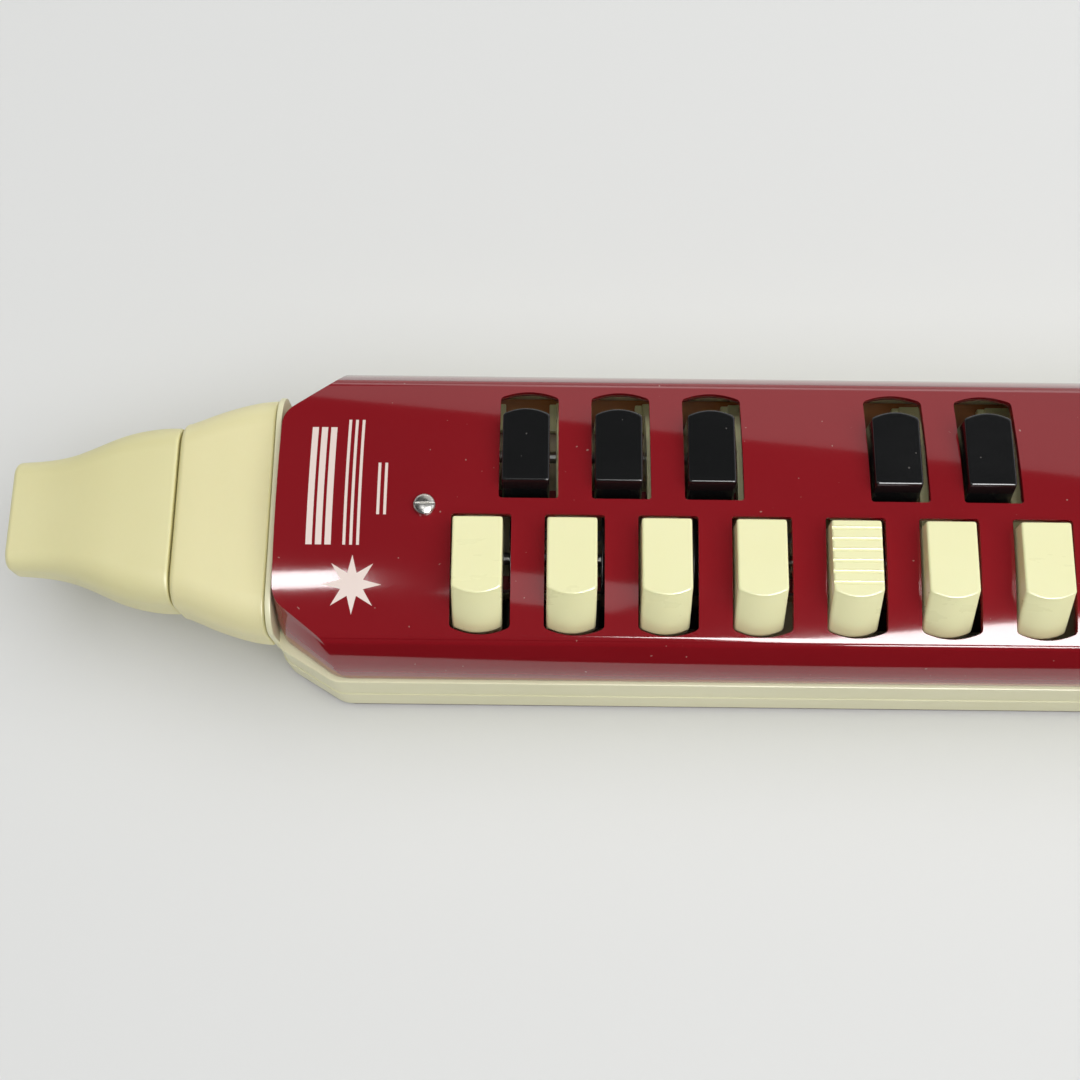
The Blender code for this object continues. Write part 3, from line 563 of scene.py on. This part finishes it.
# the case cream made darker for the mouthpiece: the darkening is painted shade, for a top that slopes away
# from the light
SHADED_LIP_CREAM = plastic("mouthpiece_cream_painted_shade", (0.755, 0.710, 0.395), (0.70, 0.655, 0.345), 0.34, 0.14,
                    wave=0.00005, soft=0.06)
CHEST_CREAM = chest_material()
KEY_CREAM = plastic("white_key_plastic", (0.86, 0.845, 0.50), (0.83, 0.81, 0.455), 0.24, 0.12,
                    wave=0.00003, coat=0.15, soft=0.05)
KEY_BLACK = plastic("black_key_plastic", (0.0055, 0.006, 0.0062), (0.0085, 0.0085, 0.009), 0.12, 0.10,
                    wave=0.00002, coat=0.15, dust=(0.16, 0.15, 0.14))
BROWN = plastic("bottom_brown", (0.085, 0.012, 0.013), (0.062, 0.009, 0.010), 0.3, 0.2)
PRINT = plastic("printed_ink", (0.80, 0.68, 0.62), (0.74, 0.61, 0.55), 0.4, 0.15, wave=0.00001)
STEEL = metal("plated_steel", (0.66, 0.65, 0.62), (0.40, 0.37, 0.32), 0.20, (1.0, 1.0, 1.0))
ROD_STEEL = metal("drawn_steel", (0.60, 0.60, 0.58), (0.42, 0.40, 0.36), 0.25, (0.05, 1.0, 1.0))
BRASS = metal("reed_brass", (0.60, 0.40, 0.13), (0.36, 0.22, 0.08), 0.3, (0.08, 1.0, 1.0))
FELT = felt_material()
RUBBER = rubber_material()


# ---------------------------------------------------------------- case

def plan_x(after):
    return FIRST + after * PITCH


def black_places():
    """Each black key's place along the keyboard, counted in white keys."""
    return [(KEY_AXLE[key].x - FIRST) / PITCH for key in BLACK]


def arch_normals(cover):
    """Give the arch its true normals, so that its reflections run smoothly past the windows."""
    mesh = cover.data
    centre = Vector((0.0, (COVER_TOP - ARCH_R) * MM))
    reach = ARCH_R * MM
    normals = [Vector(corner.vector) for corner in mesh.corner_normals]
    for polygon in mesh.polygons:
        for loop_index in polygon.loop_indices:
            spot = mesh.vertices[mesh.loops[loop_index].vertex_index].co
            out = Vector((spot.y - centre.x, spot.z - centre.y))
            on_arch = abs(out.length - reach) < 0.00002 and abs(spot.y) < (SHOULDER_Y + 0.01) * MM
            if on_arch:
                true = Vector((0.0, out.x, out.y)).normalized()
                if true.dot(polygon.normal) > 0.995:
                    normals[loop_index] = true
    mesh.normals_split_custom_set(normals)


def cover_block(inset, foot, steps=6):
    """Upright ends and sides, with chamfer faces that lean inwards."""
    levels = smooth_stations(CHAMFER_LEAN, 3)
    rings = [at_height(cover_outline(inset, steps), foot)]
    rings += [at_height(cover_outline(inset, steps, lean), z) for z, lean in levels]
    return loft(rings)


def breath_hole(x_low, x_high):
    half, tall = BREATH_HOLE
    return box((x_low, -half, BREATH_Z - tall), (x_high, half, BREATH_Z + tall))


def window(shape, after):
    """A key's window as a cutter, counted in white keys along the keyboard."""
    outline = [(x + plan_x(after), y) for x, y in bowed(*shape)]
    return prism(outline, COVER_BOTTOM + 4, COVER_TOP + 4)


def make_top_cover():
    low = FIRST - SHELL_END
    high = END + SHELL_END
    foot = COVER_BOTTOM - 6
    cover = prism(cover_section(0.0, foot), low - 1, high + 1, "X")
    combine(cover, "INTERSECT", cover_block(0.0, foot - 1, 10))
    bevel(cover, 1.8, 6, 50)
    hollow = prism(cover_section(WALL, foot - 3, 24, 12), low - 1, high + 1, "X")
    combine(hollow, "INTERSECT", cover_block(WALL, foot - 4))
    below = box((low - 5, -40, foot - 5), (high + 5, 40, COVER_BOTTOM))
    combine(cover, "DIFFERENCE", hollow, below)
    windows = [window(WHITE_WINDOW, i) for i in range(len(WHITE))]
    windows += [window(BLACK_WINDOW, i) for i in black_places()]
    for node in ("cover_screw_left", "cover_screw_right"):
        screw_low, screw_high = cad_box(node)
        middle = (screw_low + screw_high) / 2
        windows.append(turned(((1.3, -6.0), (1.3, 6.0)), (middle.x, middle.y, COVER_TOP), "screw_hole", 24))
    combine(cover, "DIFFERENCE", join(windows), breath_hole(low - 3, low + 5))
    bevel(cover, 0.2, 2, 60)
    cover.data.shade_smooth()
    cover.data.set_sharp_from_angle(angle=math.radians(38))
    arch_normals(cover)
    return show(cover, "top_cover_shell", "case", RED, "cover_red", "top_cover")


def star(x, y, outer, inner, points=8):
    """A star-shaped outline."""
    made = []
    for i in range(points * 2):
        angle = math.pi * i / points
        radius = inner if i % 2 else outer
        made.append((x + radius * math.sin(angle), y + radius * math.cos(angle)))
    return made


def make_print():
    """Pale stripes and a star printed on the arch beside the first key."""
    outlines = []
    for x, wide, low, high in STRIPES:
        left, right = FIRST + x, FIRST + x + wide
        outlines.append([(left, low), (right, low), (right, high), (left, high)])
    star_x, star_y = STAR_PLACE
    outlines.append(star(FIRST + star_x, star_y, *STAR_RADII))
    made = join([prism(outline, COVER_TOP - 6, COVER_TOP + 2) for outline in outlines])
    lean = math.degrees(math.asin(SHOULDER_Y / ARCH_R))
    centre = (0.0, COVER_TOP - ARCH_R)
    skin = arc(centre, ARCH_R + PRINT_PROUD, 90 - lean, 90 + lean, 72)
    skin += arc(centre, ARCH_R - PRINT_SUNK, 90 + lean, 90 - lean, 72)
    combine(made, "INTERSECT", prism(skin, FIRST - SHELL_END, FIRST, "X"))
    return show(made, "printed_stripes", "case", PRINT, "cover_red")


def make_frame():
    """A ring of constant section around the case, with a lip inside the cover and a plate at each end."""
    lip_in = WALL + GAP
    lip_out = WALL + 1.1
    profile = (
        (frame_outline, 0.3, FRAME_BOTTOM), (frame_outline, 0.02, FRAME_BOTTOM + 0.3),
        (frame_outline, 0.1, 10.45), (frame_outline, 0.17, 10.7), (frame_outline, 0.36, 10.85),
        (frame_outline, 0.42, 11.1), (frame_outline, 0.6, LEDGE_Z - 0.45),
        (frame_outline, 0.68, LEDGE_Z - 0.15),
        (frame_outline, 0.95, LEDGE_Z),
        (cover_outline, lip_in, LEDGE_Z), (cover_outline, lip_in, LEDGE_Z + 2.2),
        (cover_outline, lip_out, LEDGE_Z + 2.2), (cover_outline, lip_out, LEDGE_Z - 1.8),
        (frame_outline, 2.3, LEDGE_Z - 3.6), (frame_outline, 2.3, FRAME_BOTTOM),
    )
    made = loft([at_height(outline(inset), z) for outline, inset, z in profile], closed=True)
    flange_tall = (FRAME_HIGH.z - 9.0) / 2
    flange_z = 9.0 + flange_tall
    for side, edge in ((-1, FRAME_LOW.x), (1, FRAME_HIGH.x)):
        section = rounded_section(0, FLANGE_HALF, flange_tall, 7.0)
        outline = [(y, z - BREATH_Z + flange_z) for _, y, z in section]
        low, high = sorted((edge - side * 0.05, edge - side * 1.2))
        flange = prism(outline, low, high, "X")
        bevel(flange, 0.25, 2, 50)
        combine(made, "UNION", flange)
    button_low, button_high = cad_box("drain_button")
    drain_z = (button_low.z + button_high.z) / 2
    hole = prism(arc((0, drain_z), DRAIN_HOLE_R, 0, 345, 23), FRAME_HIGH.x - 6, FRAME_HIGH.x + 6, "X")
    combine(made, "DIFFERENCE", breath_hole(FRAME_LOW.x - 2, FRAME_LOW.x + 7), hole)
    smooth(made, 32)
    return show(made, "frame_ring", "case", FRAME_CREAM, "case_cream", "body_frame")


def make_bottom_cover():
    made = refined("bottom_cover", "bottom_plate", 0.12, 2, 40)
    return show(made, "bottom_plate", "case", BROWN, "bottom_brown", "bottom_cover")


# ---------------------------------------------------------------- breath path

def tube(stations):
    """Rings along the breath path: distance from the first key, half-width, half-height, corner radius."""
    return [rounded_section(FIRST - x, half, tall, radius) for x, half, tall, radius in stations]


def lip(station, depth, radius=0.5, steps=4):
    """Stations that round a tube's end over, from its full section at the given station outwards."""
    x, half, tall, corner = station
    made = []
    for k in range(1, steps + 1):
        a = math.pi / 2 * k / steps
        inset = radius * (1 - math.cos(a))
        made.append((x + depth * math.sin(a), half - inset, tall - inset, max(corner - inset, 0.5)))
    return made


def make_collar():
    start = FIRST - COLLAR_HIGH.x + 0.6
    stations = ((start, 24.15, 10.35, 7.0), (45.0, 23.75, 10.3, 7.0), (49.0, 22.7, 10.2, 6.8),
                (53.0, 21.35, 10.0, 6.6), (56.0, 20.1, 9.85, 6.4), (58.4, 19.15, 9.65, 6.2))
    rings = tube(reversed(lip(stations[0], -0.6, 0.6)))
    rings += tube(smooth_stations(stations, 6))
    rings += tube(lip(stations[-1], SEAM - stations[-1][0], 1.4, 8))
    made = loft(rings)
    bore = ((40.0, 22.2, 8.2, 4.0), (44.0, 22.2, 8.2, 4.0), (51.0, 16.8, 7.0, 4.0), (62.0, 16.8, 7.0, 4.0))
    combine(made, "DIFFERENCE", loft(tube(bore)))
    smooth(made, 45)
    return show(made, "collar_shell", "case", CREAM, "case_cream", "mouthpiece_collar")


def make_mouthpiece():
    start = (SEAM + GAP + 0.6, 18.1, 9.5, 6.0)
    tip = (TIP - 1.3, 11.2, 5.25, 3.4)
    stations = (start, (63.5, 18.05, 9.48, 6.0), (66.5, 17.7, 9.38, 6.0), (69.5, 17.05, 9.2, 5.8),
                (72.5, 16.1, 8.95, 5.6), (75.5, 14.85, 8.5, 5.3), (78.5, 13.55, 7.9, 4.8),
                (81.5, 12.5, 7.2, 4.4), (84.5, 11.8, 6.5, 3.9), (88.0, 11.4, 5.85, 3.6), tip)
    rings = tube(reversed(lip(start, -0.6, 0.4)))
    rings += tube(smooth_stations(stations, 6))
    rings += tube(lip(tip, 1.3, 1.1, 8))
    made = loft(rings)
    inner = FIRST - MOUTH_HIGH.x
    spigot = ((inner, 15.9, 6.1, 3.6), (inner + 0.8, 16.5, 6.7, 3.6),
              (54.7, 16.5, 6.7, 3.6), (54.7, 15.8, 6.0, 3.6),
              (56.7, 15.8, 6.0, 3.6), (56.7, 16.5, 6.7, 3.6), (62.0, 16.5, 6.7, 3.6))
    combine(made, "UNION", loft(tube(spigot)))
    channel = ((48.0, 14.2, 4.6, 3.0), (62.0, 14.2, 4.6, 3.0),
               (71.0, 11.6, 3.8, 2.6), (80.0, 9.2, 3.0, 2.2),
               (TIP - 1.2, 7.6, 2.55, 1.9), (TIP - 0.3, 7.8, 2.75, 2.0), (TIP + 1.4, 9.4, 4.2, 2.6))
    combine(made, "DIFFERENCE", loft(tube(channel)))
    smooth(made, 50)
    return show(made, "mouthpiece_shell", "mouthpiece", SHADED_LIP_CREAM, "case_cream", "mouthpiece")


# ---------------------------------------------------------------- keys

LEVER_PROFILE = ((1.0, 8.0), (-3.5, 6.8), (-8.0, 3.6), (-9.8, -1.6), (-13.2, -3.2), (-13.2, -5.7),
                 (-7.2, -5.7), (-7.2, -3.4), (-7.1, 2.2), (-3.6, 2.2), (-2.6, -2.2), (-1.2, -3.0),
                 (1.2, -3.0), (2.6, -2.2), (4.2, -1.2), (4.2, 2.0), (6.2, 4.5))


def cap_solid(levels, top, tilt, edge, corner_radius):
    """A key cap lofted through levels of (half-width, straight edge, corner, bow middle, height).

    The last level is the top's, which is rounded over with the edge radius and tilted along Y.
    """
    rings = []
    straight = levels[-1][1]
    for half, back, corner, middle, z in levels[:-1]:
        rings.append([(x + CAP_SHIFT, y, z) for x, y in bowed(half, back, corner, middle, corner_radius)])
    half, back, corner, middle = levels[-1][:4]
    sign = 1 if corner > back else -1
    steps = 5
    for k in range(steps + 1):
        a = math.pi / 2 * k / steps
        inset = edge * (1 - math.cos(a))
        z = top - edge * (1 - math.sin(a))
        ring = bowed(half - inset, back + sign * inset, corner - sign * inset, middle - sign * inset,
                     corner_radius)
        rings.append([(x + CAP_SHIFT, y, z + tilt * (y - straight)) for x, y in ring])
    return loft(rings)


def lever_solid(axle, toward, reach):
    profile = [(reach, 8.0), *LEVER_PROFILE, (reach, 4.5)]
    outline = [(axle.y + toward * along, axle.z + up) for along, up in profile]
    return prism(outline, CAP_SHIFT - 3.0, CAP_SHIFT + 3.0, "X")


def key_solid(axle, toward, cap, reach):
    """Cap, lever and pallet in one piece, for a window centred on X = 0."""
    lever = bevel(lever_solid(axle, toward, reach), 0.25, 2, 40)
    pad_y = sorted((axle.y - toward * 7.22, axle.y - toward * 13.18))
    pad_z = axle.z - 5.75
    pad = bevel(box((CAP_SHIFT - 4.4, pad_y[0], pad_z), (CAP_SHIFT + 4.4, pad_y[1], pad_z + 1.85)), 0.3, 2)
    combine(lever, "UNION", pad, cap)
    bore = prism(arc((axle.y, axle.z), AXLE_BORE_R, 0, 345, 23), CAP_SHIFT - 6, CAP_SHIFT + 6, "X")
    return combine(lever, "DIFFERENCE", bore)


def white_cap():
    return cap_solid(((4.73, -3.6, -22.9, -24.15, 29.0), (4.73, -3.6, -22.9, -24.15, 31.4),
                      (4.73, -3.6, -17.25, -18.55)), WHITE_CAP_TOP, 0.033, 0.45, 0.55)


def black_cap():
    return cap_solid(((4.55, 1.9, 17.6, 18.8, 27.0), (4.55, 1.9, 17.6, 18.8, 33.0),
                      (4.55, 3.95, 17.6, 18.8)), BLACK_CAP_TOP, -0.018, 0.4, 0.5)


def ribs(cap):
    """Cut rounded grooves across a cap so that ridges stand between them."""
    grooves = []
    for k in range(6):
        y = -5.15 - 2.09 * k
        z = WHITE_CAP_TOP + 0.033 * (y + 3.6)
        outline = arc((y, z + 0.15), 0.45, 180, 360, 8)
        grooves.append(prism(outline, CAP_SHIFT - 6, CAP_SHIFT + 6, "X"))
    return combine(cap, "DIFFERENCE", join(grooves))


def make_keys():
    axle = KEY_AXLE[WHITE[0]]
    dark = KEY_AXLE[BLACK[0]]
    plain = smooth(key_solid(axle, -1, white_cap(), axle.y + 19.5), 28)
    ribbed = smooth(key_solid(axle, -1, ribs(white_cap()), axle.y + 19.5), 28)
    black = smooth(key_solid(dark, 1, black_cap(), 16.0 - dark.y), 28)
    for i, key in enumerate(WHITE):
        place_key(key, ribbed if i in RIBBED else plain, KEY_CREAM, "white_key")
    for key in BLACK:
        place_key(key, black, KEY_BLACK, "black_key")
    for template in (plain, ribbed, black):
        bpy.data.objects.remove(template, do_unlink=True)


def place_key(key, template, finish, slot):
    """A copy of the template at its window, with its own mesh."""
    piece = bpy.data.objects.new(key + "_cap", template.data.copy())
    bpy.context.scene.collection.objects.link(piece)
    piece.data.transform(Matrix.Translation((KEY_AXLE[key].x * MM, 0, 0)))
    show(piece, key + "_lever", key, finish, slot, key)


# ---------------------------------------------------------------- small parts

def make_cover_screws():
    """Pan heads with a slot, polished, their shanks below."""
    for side in ("left", "right"):
        node = "cover_screw_" + side
        low, high = cad_box(node)
        x, y = (low.x + high.x) / 2, (low.y + high.y) / 2
        base = COVER_TOP + 0.1
        crown = high.z - base
        profile = [(0.95, -11.0), (0.95, 0.0), (2.0, 0.0), (2.08, 0.08), (2.08, 0.42)]
        for k in range(1, 10):
            a = math.pi / 2 * k / 10
            profile.append((2.08 * math.cos(a), 0.42 + (crown - 0.44) * math.sin(a)))
        profile.append((0.15, crown - 0.02))
        screw = turned(profile, (x, y, base), node + "_head", 56)
        combine(screw, "DIFFERENCE", box((x - 3, y - 0.28, base + 0.6), (x + 3, y + 0.28, base + 3)))
        bevel(screw, 0.05, 2, 50)
        smooth(screw, 40)
        show(screw, node + "_head", "case", STEEL, "steel", node)


def make_inner_parts():
    """What shows through the windows and from below keeps its CAD shape: some parts get their edges
    rounded, the rest keep their CAD mesh and only get their finish.
    """
    table = (
        ("wind_chest", 0.12, CHEST_CREAM, "chest_cream", "case"),
        ("white_spring_comb", 0.06, ROD_STEEL, "steel", "case"),
        ("black_spring_comb", 0.06, ROD_STEEL, "steel", "case"),
        ("drain_button", 0.3, CREAM, "case_cream", "drain_button"),
    )
    for node, width, finish, slot, body in table:
        show(refined(node, node + "_detail", width), node + "_detail", body, finish, slot, node)
    kept = {
        "white_reed_plate": BRASS, "black_reed_plate": BRASS,
        "white_key_axle": ROD_STEEL, "black_key_axle": ROD_STEEL, "drain_spring": ROD_STEEL,
        "bottom_screw_1": STEEL, "bottom_screw_2": STEEL, "bottom_screw_3": STEEL, "bottom_screw_4": STEEL,
        "white_key_felt": FELT, "black_key_felt": FELT,
        "collar_gasket": RUBBER, "mouthpiece_seal": RUBBER, "drain_seal": RUBBER,
    }
    for node, finish in kept.items():
        mesh = frame["nodes"][node].data
        mesh.materials.clear()
        mesh.materials.append(finish)


# ---------------------------------------------------------------- stage, lights and camera

# the room's brightness against the upward share of a direction: pale walls, dark ceiling
ROOM = ((0.0, 0.60), (0.20, 0.52), (0.42, 0.05), (1.0, 0.05))
# name, place in metres, size, watts, and what shows it: "diffuse", "glossy" or "both"
LIGHTS = (
    ("ceiling", (0.30, 0.05, 1.30), (2.6, 2.6), 37.0, "diffuse"),
    ("back_wall", (0.78, 0.95, 0.90), (2.8, 1.15), 7.5, "glossy"),
    ("back_window", (0.15, 1.25, 0.30), (2.4, 0.3), 2.5, "glossy"),
    ("right_softbox", (1.45, -0.15, 0.65), (1.2, 0.9), 2.5, "both"),
    ("front_fill", (0.1, -1.3, 0.5), (2.0, 0.7), 1.5, "diffuse"),
    ("streak", (0.34, -0.64, 0.89), (0.56, 0.82), 27.0, "glossy"),
    ("lamp", (-0.33, -0.08, 1.2), (0.09, 0.12), 0.7, "glossy"),
    ("glow", (-0.07, -0.13, 1.2), (0.20, 0.15), 0.10, "glossy"),
)
CARD_Y = -0.082             # a low dark card stands here, in front, and shows only in reflections
CARD_TALL = 0.058
CARD_ENDS = (-0.6, 0.8)
FLOOR_HALF = 3.0
FLOOR_COLOUR = (0.72, 0.725, 0.715, 1.0)
CARD_COLOUR = (0.01, 0.01, 0.01, 1.0)
LIGHT_TARGET = (0.0, 0.0, 0.02)


def aim(target, spot):
    """Turn a light's -Z towards a point."""
    target.rotation_euler = (Vector(spot) - target.location).to_track_quat("-Z", "Y").to_euler()


def area_light(name, place, spot, size, power, shows):
    light = bpy.data.lights.new(name, "AREA")
    light.shape = "RECTANGLE"
    light.size, light.size_y = size
    light.energy = power
    made = bpy.data.objects.new(name, light)
    bpy.context.scene.collection.objects.link(made)
    made.location = place
    aim(made, spot)
    made.visible_diffuse = shows != "glossy"
    made.visible_glossy = shows != "diffuse"


def flat_material(name, colour, roughness, shine):
    made, _, _, shader = new_material(name)
    shader.inputs["Base Color"].default_value = colour
    shader.inputs["Roughness"].default_value = roughness
    shader.inputs["Specular IOR Level"].default_value = shine
    return made


def make_stage():
    bm = bmesh.new()
    bmesh.ops.create_grid(bm, x_segments=1, y_segments=1, size=FLOOR_HALF)
    mesh = bpy.data.meshes.new("floor")
    bm.to_mesh(mesh)
    bm.free()
    floor = bpy.data.objects.new("floor", mesh)
    bpy.context.scene.collection.objects.link(floor)
    floor.location.z = CAD_BOX[0][2] - 0.0001
    mesh.materials.append(flat_material("pale_floor", FLOOR_COLOUR, 0.8, 0.2))
    left, right = CARD_ENDS
    card = box((left / MM, CARD_Y / MM - 1, 0), (right / MM, CARD_Y / MM, CARD_TALL / MM), "dark_card")
    card.visible_camera = False
    card.visible_diffuse = False
    card.visible_shadow = False
    card.data.materials.append(flat_material("dark_card", CARD_COLOUR, 1.0, 0.0))
    world = bpy.data.worlds.new("studio")
    bpy.context.scene.world = world
    world.use_nodes = True
    nodes, links = world.node_tree.nodes, world.node_tree.links
    split = nodes.new("ShaderNodeSeparateXYZ")
    links.new(nodes.new("ShaderNodeTexCoord").outputs["Generated"], split.inputs[0])
    links.new(ramp(nodes, links, split.outputs["Z"], ROOM), nodes["Background"].inputs["Color"])
    nodes["Background"].inputs["Strength"].default_value = 1.0
    for name, place, size, power, shows in LIGHTS:
        area_light(name, place, LIGHT_TARGET, size, power, shows)


def make_camera():
    """Above the mouthpiece end, a little to the front, looking down and slightly back."""
    lens_data = bpy.data.cameras.new("camera")
    lens_data.lens = 48.32
    lens_data.sensor_width = 36.0
    lens_data.clip_start = 0.01
    camera = bpy.data.objects.new("camera", lens_data)
    bpy.context.scene.collection.objects.link(camera)
    roll, tilt, lean = 0.01146, 0.28675, 0.00062
    turn = Matrix.Rotation(lean, 4, "Y") @ Matrix.Rotation(tilt, 4, "X") @ Matrix.Rotation(roll, 4, "Z")
    place = Vector((FIRST + 11.38, -84.85, 299.54)) * MM
    camera.matrix_world = Matrix.Translation(place) @ turn
    bpy.context.scene.camera = camera


make_camera()
make_stage()
make_top_cover()
make_print()
make_frame()
make_bottom_cover()
make_collar()
make_mouthpiece()
make_keys()
make_cover_screws()
make_inner_parts()
bpy.context.scene.view_settings.view_transform = "Standard"
